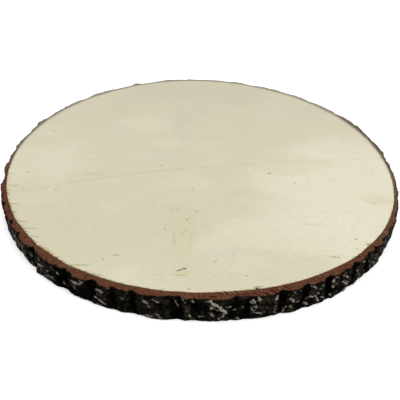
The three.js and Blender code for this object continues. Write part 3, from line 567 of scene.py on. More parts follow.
def furrowedBark():
    # a closed loop of rows: over the sawn rim, down the furrowed face, back underneath and up inside
    columns = bark["columns"]
    even = np.arange(columns) / columns * fullTurn
    angles = even - bark["crowding"] * np.cos(even)
    degrees = np.degrees(angles) % 360
    solidWood = woodEdge(angles)
    inner = solidWood + byAngle(angles, joint) + bark["gap"]
    first, last = bark["nearSide"]
    near = ease((degrees - first + 3) / 3) * ease((last + 3 - degrees) / 3)

    # the face, from the rim down to the foot
    down = np.concatenate([[top - 0.12, top - 0.45], np.linspace(top - 0.9, 0.9, 38), [0.45, 0.12]])
    heights = np.broadcast_to(down[:, None], (len(down), columns))
    around = np.broadcast_to(angles, heights.shape)
    sway = np.interp(heights, [0, top / 2, top], bark["sway"][::-1])
    bend = (barkNoise(around, heights, "sway") - 0.5) * 2 * sway
    bend = bend + (barkNoise(around, heights, "wobble") - 0.5) * bark["wobble"]
    leanAt, *shifts = np.array(bark["lean"]).T
    shifts = np.stack([np.interp(degrees, leanAt, shift, period=360) for shift in shifts])
    step = np.clip((heights - 2) / 5, 0, 2.999)
    storey = step.astype(int)
    columnAt = np.broadcast_to(np.arange(columns), heights.shape)
    lean = shifts[storey, columnAt] * (1 - step % 1) + shifts[storey + 1, columnAt] * (step % 1)
    swayed = around + bend / girth - np.radians(lean)
    solid = barkEdge(swayed, heights)
    rimEdge = solidWood + byAngle(angles, bark["rimEdge"])
    rimFrom, rimOver = bark["rimSpan"]
    solid = solid + (rimEdge - solid) * ease((heights - rimFrom) / rimOver)
    level = lifted(solid, angles, bark["span"], 0.015)
    drop = level - solid
    rugged = barkNoise(around, heights, "rugged")
    furrow = ease((drop - 0.2 - 0.5 * rugged) / 0.9)
    steep = drop * bark["shoulder"] * (1 - furrow) + (drop + bark["sharpen"]) * furrow
    drop = drop + (steep - drop) * ease(heights / 7) * ease((top - 1 - heights) / 4)
    drop = drop * (0.7 + 0.3 * ease(heights / 6))
    scale, scaleGap = barkScales(swayed, heights, bark["scaleSize"], 22)
    crumb, crumbGap = barkScales(swayed, heights, bark["crumbSize"], 23)
    crack = ease(1 - scaleGap / 0.5)
    grit = barkNoise(around, heights, "grit")

    # brown scales and hollows in their places on the near side, and where a noise is high elsewhere
    seenAround, seenHeights = asSeen(around, heights, level - drop, solidWood + bark["markedOn"])
    brown = 14 * (0.6 - barkNoise(around, heights, "brown")) + 12 * near
    brown = np.minimum(brown, ovalGap(seenAround, seenHeights, bark["brownScales"]))
    hollow = 14 * (0.62 - barkNoise(around, heights, "hollow")) + 12 * near
    hollow = np.minimum(hollow, ovalGap(seenAround, seenHeights, bark["hollows"]))
    hollow = hollow + 1.6 * (barkNoise(around, heights, "hollowEdge") - 0.5)

    # the crust's strokes wander and break up
    wanderRound = (barkNoise(around, heights, "wanderRound") - 0.5) / girth
    wanderUp = (barkNoise(around, heights, "wanderUp") - 0.5)
    gap, strength = strokeGap(seenAround + wanderRound, seenHeights + wanderUp, bark["crust"])
    gap = gap + 1.4 * (barkNoise(around, heights, "broken") - 0.58)

    detail = bark["scaleStep"] * (scale - 0.5) - bark["crackDepth"] * crack
    detail = detail + bark["crumbStep"] * (crumb - 0.5) + bark["grit"] * (grit - 0.5)
    detail = detail + bark["crustLift"] * ease(0.4 - gap / 0.5) + bark["even"]
    detail = detail - bark["hollowDepth"] * ease(0.5 - hollow) * (1 - furrow)
    aboveFoot = (0.25 + 0.75 * ease(heights / 4)) * (0.6 + 0.4 * ease((top - heights) / 2))
    worn = 0.2 * ease(1 - heights / 0.6)
    stands = byAngle(angles, bark["foot"]) * ease(1 - heights / bark["footSpan"])
    reach = level - drop + detail * aboveFoot - worn + stands
    reach = np.minimum(reach, reach[:1] + byAngle(angles, bark["bulge"]))
    reach = np.maximum(reach, inner + bark["least"] - 0.5 * crumb)
    face = np.stack([reach * np.cos(around), reach * np.sin(around), heights], axis=-1)

    # the sawn rim, from the wood to the face, and the same underneath
    shares = np.array([0, 0.03, 0.08, 0.14, 0.21, 0.29, 0.38, 0.47, 0.56, 0.66, 0.76, 0.86, 0.94, 1.0])
    outer = reach[0] - 0.05
    rimReach = inner + (outer - inner) * shares[:, None]
    rimAround = np.broadcast_to(angles, rimReach.shape)
    fromWood = rimReach - inner
    fuzz = barkNoise(rimAround, fromWood, "fuzz")
    tearGap, tearPower = strokeGap(rimAround, fromWood, bark["tears"])
    splinterGap = strokeGap(rimAround, fromWood, bark["splinters"])[0]
    rimCut = 0.04 + 0.14 * barkNoise(rimAround, fromWood, "rimCut")
    rimCut = rimCut + 0.12 * fuzz * ease(1 - fromWood / 0.7)
    rimCut = rimCut + bark["tearDepth"] * tearPower * ease(0.3 - tearGap / 0.6)
    rimCut = np.maximum(rimCut - bark["splinterLift"] * ease(0.3 - splinterGap / 0.4), 0)
    rimCut[-1] = 0.1 + 0.15 * fuzz[-1]
    rim = np.stack([rimReach * np.cos(rimAround), rimReach * np.sin(rimAround), top - rimCut], axis=-1)
    footShares = np.array([1.0, 0.85, 0.4, 0])
    foot = inner + (reach[-1] - 0.12 - inner) * footShares[:, None]
    footAround = np.broadcast_to(angles, foot.shape)
    footCut = 0.02 + 0.1 * barkNoise(footAround, foot - inner, "footCut")
    under = np.stack([foot * np.cos(footAround), foot * np.sin(footAround), footCut], axis=-1)
    backHeights = np.array([[top / 3], [top * 2 / 3]])
    innerX = inner * np.cos(angles)
    innerY = inner * np.sin(angles)
    back = np.stack(np.broadcast_arrays(innerX, innerY, backHeights), axis=-1)

    rows = np.concatenate([rim, face, under, back])
    rows = np.clip(rows, np.array(cadBox[0]) / mm + 0.02, np.array(cadBox[1]) / mm)

    greyAt, rimSheen, greyFace = np.array(bark["weatherAndSheen"]).T

    # what the material reads: a value for the rim's rows, one for the face's and one for the rest
    traits = {}
    for trait, onRim, onFace, elsewhere in [
        ("sawn", 1.0, ease((heights - (top - 0.3)) / 0.25), 1.0),
        ("fromWood", fromWood, 9.0, 2.0),
        ("outward", outer - rimReach, 0.0, 2.0),
        ("furrow", 0.0, furrow, 0.0),
        ("scale", 0.5, scale, 0.5),
        ("crackGap", 1.5, scaleGap, 1.5),
        ("crumbGap", 1.0, crumbGap, 1.0),
        ("brownGap", 4.0, np.minimum(brown, 4), 4.0),
        ("hollowGap", 4.0, np.minimum(hollow, 4), 4.0),
        ("crustGap", 4.0, gap, 4.0),
        ("crustPower", 0.0, strength, 0.0),
        ("lace", 0.0, byAngle(angles, bark["lace"]), 0.0),
        ("weatherAndSheen", np.interp(degrees, greyAt, rimSheen, period=360),
         np.interp(degrees, greyAt, greyFace, period=360), 0.3),
        ("tearGap", tearGap, 4.0, 4.0),
        ("tearPower", tearPower, 0.0, 0.0),
        ("splinterGap", splinterGap, 4.0, 4.0),
    ]:
        traits[trait] = np.concatenate([
            np.broadcast_to(onRim, rim.shape[:2]),
            np.broadcast_to(onFace, face.shape[:2]),
            np.full((len(under) + len(back), columns), elsewhere),
        ])
    return makePiece("furrowed_bark", rows, False, "bark_ring", traits)


# Materials

def linear(hexCode):
    # sRGB hex to linear light: c / 12.92 up to 0.04045, and ((c + 0.055) / 1.055) ^ 2.4 above it
    shown = np.array([int(hexCode[i:i + 2], 16) for i in (0, 2, 4)]) / 255
    light = np.where(shown <= 0.04045, shown / 12.92, ((shown + 0.055) / 1.055) ** 2.4)
    return (*light.tolist(), 1.0)


def addNode(tree, kind, inputs=None, **settings):
    # adds a node with its settings; each input is given a value, or linked where it is another's output
    node = tree.nodes.new("ShaderNode" + kind)
    for name, value in settings.items():
        setattr(node, name, value)
    for socket, value in (inputs or {}).items():
        if isinstance(value, bpy.types.NodeSocket):
            tree.links.new(value, node.inputs[socket])
        else:
            node.inputs[socket].default_value = value
    return node.outputs


def newMaterial(name):
    # an empty material, its node tree, and places in the object's own metres
    material = bpy.data.materials.new(name)
    material.use_nodes = True
    tree = material.node_tree
    tree.nodes.clear()
    return material, tree, addNode(tree, "TexCoord")["Object"]


def inMillimetres(tree, place):
    # the same places, times 1000
    return addNode(tree, "VectorMath", {0: place, 1: (1000, 1000, 1000)}, operation="MULTIPLY")[0]


def wandered(tree, inMm, scale, detail, reach):
    # places moved by a noise of this scale: up to half the reach either way, as noise x reach - reach / 2
    at = addNode(tree, "Mapping", {"Vector": inMm, "Scale": scale})[0]
    shift = addNode(tree, "TexNoise", {"Vector": at, "Scale": 1.0, "Detail": detail})["Color"]
    moved = addNode(tree, "VectorMath", {0: shift, 1: reach, 2: inMm}, operation="MULTIPLY_ADD")[0]
    half = tuple(r / 2 for r in reach)
    return addNode(tree, "VectorMath", {0: moved, 1: half}, operation="SUBTRACT")[0]


def closeMaterial(tree, colour, sources, finish):
    # fine relief from two noises, 0.6 of the first on top of the second, roughness between two values,
    # and the shader
    first, second = finish["relief"]
    height = addNode(tree, "Math", {
        0: sources[first], 1: 0.6, 2: sources[second],
    }, operation="MULTIPLY_ADD")[0]
    strength, deep = finish["bump"]
    bump = addNode(tree, "Bump", {"Strength": strength, "Distance": deep * mm, "Height": height})["Normal"]
    follows, smooth, rough = finish["roughness"]
    roughness = addNode(tree, "MapRange", {0: sources[follows], 1: 0.3, 2: 0.7, 3: smooth, 4: rough})[0]
    shader = addNode(tree, "BsdfPrincipled", {
        "Base Color": colour, "Roughness": roughness, "IOR": finish["ior"], "Normal": bump,
        "Specular IOR Level": finish["specular"],
    })["BSDF"]
    addNode(tree, "OutputMaterial", {"Surface": shader})


def gatherSources(tree, inMm, traits, noises):
    # what the layers can follow: the piece's own traits, and noises drawn out to their sizes in mm
    sources = {trait: addNode(tree, "Attribute", attribute_name=trait)["Fac"] for trait in traits}
    for shift, (name, size, detail) in enumerate(noises):
        at = addNode(tree, "Mapping", {
            "Vector": inMm,
            "Location": (7.3 * shift, 3.1 * shift, 5.7 * shift),
            "Scale": [1 / s for s in size],
        })[0]
        sources[name] = addNode(tree, "TexNoise", {"Vector": at, "Scale": 1.0, "Detail": detail})["Fac"]
    return sources


def paintLayers(tree, colour, layers, sources, finish):
    # one layer over the other: its colour comes in as trait + share x noise goes from start to end
    for trait, noise, share, start, end, strength, shade in layers:
        value = addNode(tree, "Math", {
            0: sources[noise], 1: share, 2: sources.get(trait, 0.0),
        }, operation="MULTIPLY_ADD")[0]
        cover = addNode(tree, "MapRange", {
            0: value, 1: start, 2: end, 4: sources.get(strength, strength),
        }, interpolation_type="SMOOTHSTEP")[0]
        over = linear(finish[shade])
        colour = addNode(tree, "Mix", {0: cover, 6: colour, 7: over}, data_type="RGBA")[2]
    return colour


def paintSpots(tree, colour, spots, at, core, finish):
    # ovals on the sawn face, each of the colour that it is listed under and fading from its middle
    for shade, places in spots.items():
        over = linear(finish[shade])
        for x, y, length, width, turn, strength in places:
            oval = addNode(tree, "Mapping", {
                "Vector": at,
                "Location": (x, y, top),
                "Rotation": (0, 0, math.radians(turn)),
                "Scale": (length * 0.6, width * 0.6, 8),
            }, vector_type="TEXTURE")[0]
            inside = addNode(tree, "TexGradient", {0: oval}, gradient_type="SPHERICAL")["Fac"]
            cover = addNode(tree, "MapRange", {
                0: inside, 1: 0.0, 2: core, 4: strength,
            }, interpolation_type="SMOOTHSTEP")[0]
            colour = addNode(tree, "Mix", {0: cover, 6: colour, 7: over}, data_type="RGBA")[2]
    return colour


poplar = {
    "baseHex": "B4AE98",            # the board, freshly sanded
    "paleAndLitHex": "C0BCA7",            # paler grain tone, and painted light where the lamp falls on the right side
    "greyAndShadedHex": "AFA994",            # greyer grain tone, and painted shade towards the back and at the front left
    "greenHex": "AEAD91",
    "wedgeHex": "A8A786",
    "violetHex": "ACA598",
    "pinkHex": "B5AD9E",
    "grainHex": "948D76",
    "poreHex": "857E69",
    "stainHex": "7C714A",           # damp that crept in from the bark
    "stainDarkHex": "635034",
    "lineHex": "7C7565",
    "markHex": "363023",
    "oliveHex": "676340",
    "brownHex": "72593C",
    "haloHex": "A9A374",
    "glowHex": "AA905F",
    "backHex": "686356",
    "tornHex": "756D52",
    "roughness": ("dash", 0.56, 0.7),       # the noise it follows, least and most
    "relief": ("dash", "mottle"),
    "bump": (0.25, 0.15),           # strength, depth in mm
    "specular": 0.3,
    "ior": 1.5,
    "traits": ["toRim", "torn", "damp", "farEdgeDark"],
    # name, size along the grain, across it and through the board in mm, detail. Fibres are 0.03 mm wide
    # and vessels 0.1 mm, too fine to show, so the mottling and dashes are 0.8 mm wide
    "noises": [
        ("patch", (90, 80, 30), 2.0),
        ("cloud", (44, 26, 20), 3.0),
        ("hue", (30, 20, 20), 3.0),
        ("hueSmall", (7, 5, 5), 2.0),
        ("long", (30, 1.6, 3), 3.0),
        ("dash", (5, 0.8, 2), 2.0),
        ("mottle", (1.2, 0.9, 1.2), 2.0),
        ("fray", (4.5, 0.8, 2), 3.0),
    ],
    # trait, noise, its share, start, end, strength, colour
    "layers": [
        (None, "patch", 1.0, 0.45, 0.7, 0.3, "greyAndShadedHex"),
        (None, "cloud", 1.0, 0.5, 0.75, 0.35, "paleAndLitHex"),
        (None, "hue", 1.0, 0.52, 0.68, 0.28, "greenHex"),
        (None, "hue", 1.0, 0.48, 0.32, 0.22, "pinkHex"),
        (None, "hueSmall", 1.0, 0.54, 0.7, 0.3, "greenHex"),
        (None, "hueSmall", 1.0, 0.46, 0.3, 0.3, "pinkHex"),
    ],
    "grain": [
        (None, "long", 1.0, 0.5, 0.78, 0.14, "grainHex"),
        (None, "dash", 1.0, 0.46, 0.74, 0.2, "grainHex"),
        (None, "dash", 1.0, 0.64, 0.78, 0.16, "poreHex"),
        (None, "mottle", 1.0, 0.4, 0.75, 0.24, "grainHex"),
        ("offLine", "dash", 3.0, 4.0, 1.2, "onLine", "lineHex"),
    ],
    "edge": [
        ("toRim", "reach", -1.6, 1.2, -1.2, 0.42, "glowHex"),
        ("toRim", "reach", -1.0, 0.1, -0.35, 0.7, "stainHex"),
        ("toRim", "reach", -0.5, 0.05, -0.2, 0.6, "stainDarkHex"),
        # darker along the far edge of the face, as far round as the list above gives
        ("toRim", "fray", -1.6, 2.2, 0.2, "farEdgeDark", "backHex"),
        ("torn", "dash", 0.2, 0.2, 0.55, 0.5, "tornHex"),
    ],
    # the long faint line across the face: y in mm is a cubic of x
    "line": (-19.93, 0.2076, -5.901e-04, 7.08e-07),
    # x, y, length, width in mm, turn in degrees, strength: soft patches of each colour
    "patches": {
        # grey: the patches over the back and the one at the front left are painted shade, over the grey tone of the
        # board
        "greyAndShadedHex": [(-5, 128, 210, 95, 0, 0.8), (-75, 60, 90, 60, 0, 0.1), (100, 85, 90, 60, 0, 0.25),
                    (-75, -85, 110, 70, 0, 0.3)],
        "violetHex": [(-10, 52, 26, 90, 0, 0.35), (40, 108, 110, 26, 0, 0.3), (108, 78, 60, 26, 0, 0.25),
                      (-60, 84, 40, 22, 0, 0.25), (-20, 118, 60, 34, 0, 0.2), (-78, 36, 26, 16, 0, 0.2)],
        # pale: the large patch at the right is painted light where the lamp falls; the smaller ones are paler tone
        # of the board
        "paleAndLitHex": [(132, -52, 180, 180, 0, 0.95), (-46, 50, 60, 40, 0, 0.35), (92, 10, 80, 50, 0, 0.3),
                    (-120, -26, 80, 80, 0, 0.4), (78, -92, 110, 60, 0, 0.5)],
        "greenHex": [(-12, -92, 60, 60, 0, 0.3), (5, 2, 50, 26, 0, 0.3), (12, -54, 60, 30, 0, 0.3),
                     (80, -12, 60, 30, 0, 0.3), (-72, 70, 50, 34, 0, 0.35), (-125, -52, 30, 24, 0, 0.25),
                     (-68, -114, 90, 40, 0, 0.4), (-100, 32, 40, 20, 0, 0.3), (30, 20, 60, 26, 0, 0.25)],
    },
    # the same, with steadier outlines: a smudge, and the wedge of green heartwood with its two sides
    "streaks": {
        "lineHex": [
            (-80, -33.5, 40, 6, 8, 0.13), (-94, -37.8, 26, 4, 6, 0.07), (-117, -55, 46, 7, 14, 0.08),
        ],
        "wedgeHex": [(-9.5, -84, 34, 34, 0, 0.2), (-9.5, -98, 22, 52, 0, 0.3), (-9, -114, 12, 36, 0, 0.2),
                     (-15.0, -96, 62, 3.0, -82.4, 0.35), (-2.8, -97, 58, 3.0, 81.8, 0.35),
                     (126, -54.5, 28, 13, 0, 0.4), (-125, -52, 30, 10, 0, 0.2)],
    },
    # specks, pricks, torn fibres and the knot, in the same form
    "specks": {
        "haloHex": [
            (52.2, -25.6, 6, 3, 0, 0.2), (81.5, -112.4, 7, 2.6, 0, 0.3), (-8.3, -128.9, 9, 4.2, 0, 0.45),
            (-6.0, -128.4, 5, 3.0, 0, 0.3), (131.0, -57.4, 14, 2.6, 0, 0.22),
            (-125.6, -32.6, 6, 4, 40, 0.2),
        ],
        "oliveHex": [
            (-8.3, -130.9, 8, 0.9, 0, 0.4), (-17.9, -70.9, 1.8, 0.8, 0, 0.5),
            (-13.9, -71.5, 1.6, 0.8, 0, 0.5), (-8.3, -71.5, 1.8, 0.8, 0, 0.5),
            (-1.0, -73.6, 4.0, 0.9, -25, 0.55), (-11.5, -83.1, 1.4, 0.8, 0, 0.4),
            (-5.1, -86.4, 1.6, 0.9, 0, 0.45), (-8.4, -94.0, 5, 0.8, 65, 0.4),
            (-14.6, -100, 16, 0.7, -82, 0.22), (-4.4, -100, 16, 0.7, 81, 0.22),
            (73.6, -83.2, 18, 0.7, 3, 0.15), (82.5, -112.5, 5.5, 0.9, -4, 0.55),
            (-131.3, -50.2, 9, 0.9, 0, 0.55), (-132.4, -56.2, 5.6, 0.8, 0, 0.5),
            (-131.8, -61.0, 6, 0.8, 0, 0.65), (-123.6, -71.2, 8, 0.8, 0, 0.7),
            (-113.2, -89.0, 10, 0.9, 0, 0.7), (-106.0, -95.2, 12, 0.9, 0, 0.7),
            (-100.0, -102.4, 7, 0.8, -15, 0.6), (-91, -112.5, 7, 0.8, 0, 0.5),
            (-67.9, -125.4, 16, 0.8, 2, 0.6), (-56.4, -132.6, 9, 0.8, 2, 0.6),
            (-47.6, -116.4, 4.8, 0.9, 2, 0.6), (-55, -119.8, 3.6, 0.6, -45, 0.5),
            (-136.5, -36.5, 7, 0.8, 0, 0.2), (-138.0, -28, 6, 0.8, 0, 0.15),
            (-83, -119.3, 6, 0.8, 0, 0.5), (34.2, -137.9, 6, 1.1, 12, 0.7),
            (-123.8, -31.0, 3.0, 1.6, 40, 0.15), (118.6, -57.4, 7.0, 1.4, -20, 0.2),
            (121.9, -58.7, 3.6, 1.6, 0, 0.3),
        ],
        "brownHex": [
            (-126.1, -33.7, 3.0, 2.4, 0, 0.3), (-123.2, 28.8, 3, 2, 0, 0.2),
            (97.7, -105.0, 3.0, 0.8, -10, 0.6), (-10.6, -127.5, 3, 1.0, 10, 0.5),
        ],
        "markHex": [
            (-29.1, -19.6, 2.0, 1.0, 0, 0.75), (-99.9, -54.5, 1.6, 1.1, 0, 0.65),
            (52.2, -25.5, 2.4, 1.3, 0, 0.8), (69.1, -37.5, 1.5, 1.1, 0, 0.7),
            (-4.6, -48.7, 1.3, 1.0, 0, 0.5), (24.1, 15.3, 1.4, 1.0, 0, 0.35),
            (-123.3, 28.5, 1.5, 1.0, 0, 0.25), (11.3, -119.1, 1.6, 1.0, 0, 0.6),
            (28.5, -129.7, 1.7, 1.0, 0, 0.55), (98.8, -96.2, 1.6, 1.2, 0, 0.8),
            (84.9, -112.7, 1.6, 1.0, 0, 0.6), (-3.7, -140.5, 1.5, 1.0, 0, 0.65),
            (54.7, -118.1, 1.4, 0.9, 0, 0.3), (21.7, -112.6, 1.3, 0.9, 0, 0.3),
            (-6.8, -81.9, 1.5, 1.0, 0, 0.6), (-20.7, -92.0, 1.5, 1.0, 0, 0.65),
            (-8.8, -126.5, 6.4, 0.8, 22, 0.7), (-6.8, -125.7, 2.2, 1.2, 10, 0.9),
            (33.6, -138.9, 2.6, 1.3, 0, 1.0), (29.4, -141.3, 4.0, 0.5, 10, 0.6),
            (-33.4, -140.6, 2.6, 1.0, 0, 0.5), (-40.4, -138.2, 2.2, 1.0, 0, 0.5),
            (-17.6, -141.4, 1.8, 1.0, 0, 0.55), (8, -142.6, 1.6, 1.0, 0, 0.4),
            (-26.5, -140.8, 1.4, 0.8, 0, 0.3), (-45.3, -136.7, 1.8, 0.9, 0, 0.35),
        ],
    },
}


def sandedPoplar():
    # bare poplar board, sawn and sanded: matt cream, with short faint grain and cloudy patches
    material, tree, place = newMaterial("sanded_poplar")
    inMm = inMillimetres(tree, place)
    sources = gatherSources(tree, inMm, poplar["traits"], poplar["noises"])
    # coordinates that wander, so that patches and specks have no even outline
    cloudy = wandered(tree, inMm, (0.02, 0.03, 0.03), 3.0, (90, 60, 0))
    crumbly = wandered(tree, inMm, (0.6, 0.9, 0.9), 2.0, (2.0, 1.2, 0))

    # the long line: how far off it a point lies, and its strength, which swells left of the middle
    x, y, z = addNode(tree, "SeparateXYZ", {0: crumbly})[:3]
    a, b, c, d = poplar["line"]
    rise = addNode(tree, "Math", {0: x, 1: d, 2: c}, operation="MULTIPLY_ADD")[0]
    rise = addNode(tree, "Math", {0: x, 1: rise, 2: b}, operation="MULTIPLY_ADD")[0]
    lineY = addNode(tree, "Math", {0: x, 1: rise, 2: a}, operation="MULTIPLY_ADD")[0]
    offLine = addNode(tree, "Math", {0: y, 1: lineY}, operation="SUBTRACT")[0]
    sources["offLine"] = addNode(tree, "Math", {0: offLine}, operation="ABSOLUTE")[0]
    onLine = addNode(tree, "MapRange", {
        0: x, 1: -10, 2: 90, 3: 0.2, 4: 0.15,
    }, interpolation_type="SMOOTHSTEP")[0]
    onLine = addNode(tree, "MapRange", {
        0: x, 1: -125, 2: -60, 4: onLine,
    }, interpolation_type="SMOOTHSTEP")[0]
    onLine = addNode(tree, "MapRange", {0: sources["hue"], 1: 0.38, 2: 0.6, 3: 0.06, 4: onLine})[0]
    sources["onLine"] = addNode(tree, "MapRange", {0: z, 1: 9, 2: 10, 4: onLine})[0]

    # how far the damp has crept in, in fringes along the fibres
    sources["reach"] = addNode(tree, "MapRange", {
        0: sources["fray"], 1: 0.38, 2: 0.72, 4: sources["damp"],
    })[0]

    colour = paintLayers(tree, linear(poplar["baseHex"]), poplar["layers"], sources, poplar)
    colour = paintSpots(tree, colour, poplar["patches"], cloudy, 0.6, poplar)
    colour = paintSpots(tree, colour, poplar["streaks"], crumbly, 1.0, poplar)
    colour = paintLayers(tree, colour, poplar["grain"], sources, poplar)
    colour = paintLayers(tree, colour, poplar["edge"], sources, poplar)
    colour = paintSpots(tree, colour, poplar["specks"], crumbly, 0.45, poplar)

    closeMaterial(tree, colour, sources, poplar)
    return material


alder = {
    "dullHex": "090806",            # weathered outer bark, in two shades
    "plateHex": "15110D",
    "mossHex": "0A0C07",            # where it is greenish
    "earthHex": "251F18",           # brown scales where the outermost layer has flaked
    "ashHex": "56504A",             # greyed by the weather
    "blackAndShadeHex": "010101",          # near black: painted shade in the furrows, cracks and hollows, and dark streaks; the next is a less deep painted shade in the furrows
    "furrowDimShadeHex": "080706",
    "crustHex": "7C786A",           # pale lichen crust
    "mouldHex": "434037",
    "sawnHex": "4C2F21",            # inner bark, red-brown where it is sawn
    "sawnPinkHex": "634236",
    "sawnDarkHex": "351E16",
    "sawnSheenHex": "8B8878",        # the same, paled by painted sheen on the far side
    "sideSheenHex": "625C4C",
    "sideDarkHex": "433A32",        # its outer edge there
    "paleSkinHex": "958A7A",        # and its skin next to the wood
    "cambiumHex": "48301B",         # the same skin where it is fresh
    "tearHex": "36130A",
    "splinterHex": "766354",
    "roughness": ("fine", 0.8, 1.0),        # the noise it follows, least and most
    "relief": ("streaks", "fine"),
    "bump": (0.5, 0.2),             # strength, depth in mm
    "specular": 0.01,
    "ior": 1.45,
    "traits": ["sawn", "fromWood", "outward", "furrow", "scale", "crackGap", "crumbGap", "brownGap",
               "hollowGap", "crustGap", "crustPower", "lace", "weatherAndSheen", "tearGap", "tearPower",
               "splinterGap"],
    # name, size in mm, detail. Bark dust is finer than 0.1 mm, and its grain is drawn 1.1 mm wide to show
    "noises": [
        ("fine", (1.1, 1.1, 1.1), 2.0),
        ("medium", (2.6, 2.6, 3.2), 2.0),
        ("wide", (9, 9, 8), 2.0),
        ("streaks", (1.1, 1.1, 6), 2.0),
        ("blotch", (4, 4, 4), 3.0),
    ],
    # trait, noise, its share, start, end, strength, colour
    "outside": [
        ("scale", "medium", 1.6, 0.8, 1.75, 1.0, "plateHex"),
        (None, "blotch", 1.0, 0.52, 0.66, 0.6, "mossHex"),
        ("brownGap", "medium", 5.0, 3.2, 1.8, 0.9, "earthHex"),
        (None, "medium", 1.0, 0.5, 0.38, 0.7, "dullHex"),
        ("weatherAndSheen", "streaks", 1.0, 1.02, 1.25, 0.9, "ashHex"),
        (None, "streaks", 1.0, 0.47, 0.34, 0.6, "blackAndShadeHex"),
        (None, "fine", 1.0, 0.64, 0.76, 0.4, "mouldHex"),
        # painted shade: cracks, the borders of crumbs, hollows and furrows are painted near black
        ("crackGap", "fine", 1.0, 0.95, 0.6, 0.8, "blackAndShadeHex"),
        ("crumbGap", "fine", 1.0, 0.7, 0.5, 0.5, "blackAndShadeHex"),
        ("hollowGap", "fine", 1.5, 1.2, 0.4, 0.9, "blackAndShadeHex"),
        ("furrow", "medium", 0.9, 0.5, 1.15, 0.96, "blackAndShadeHex"),
        ("furrow", "blotch", 2.0, 2.0, 2.3, 0.7, "furrowDimShadeHex"),
    ],
    "crusted": [
        ("laceGap", "fine", 0.16, 0.15, 0.09, "laceShows", "mouldHex"),
        ("laceGap", "fine", 0.2, 0.15, 0.09, "laceBright", "crustHex"),
        ("crustGap", "fine", 1.6, 1.0, 0.65, "crustPower", "mouldHex"),
        ("crustGap", "fine", 2.4, 1.15, 0.6, "crustPower", "crustHex"),
        (None, "fine", 1.0, 0.42, 0.3, 0.6, "plateHex"),
    ],
    "sawnLayers": [
        (None, "fibres", 1.0, 0.5, 0.68, 0.6, "sawnPinkHex"),
        (None, "fibres", 1.0, 0.47, 0.34, 0.45, "sawnDarkHex"),
        (None, "blotch", 1.0, 0.55, 0.7, 0.35, "sawnPinkHex"),
        (None, "medium", 1.0, 0.6, 0.72, 0.35, "sawnDarkHex"),
        # painted sheen: the sawn rim turns grey and pale on the far side
        ("weatherAndSheen", "blotch", 0.4, 0.2, 0.65, 0.5, "sideSheenHex"),
        ("weatherAndSheen", "blotch", 0.4, 0.75, 1.1, 0.85, "sawnSheenHex"),
        ("fromWood", "fine", -0.8, 0.6, -0.4, "rimFarSide", "paleSkinHex"),
        ("outward", "medium", -1.2, 1.3, -0.4, "rimFarSide", "sideDarkHex"),
        ("fromWood", "fibres", -1.2, 0.3, -0.25, "rimFresh", "cambiumHex"),
        ("tearGap", "fine", 1.0, 0.75, 0.4, "tearPower", "tearHex"),
        ("splinterGap", "fine", 0.6, 0.5, 0.2, 0.75, "splinterHex"),
        ("outward", "fine", -1.2, 0.0, -0.5, 0.85, "dullHex"),
    ],
    "fibreSize": (0.9, 2.2),        # mm round the slice and across the rim
    "laceSize": 2.0,                # mm between the lines of the fine crust
    "laceWander": 2.2,              # mm that they wander over
}


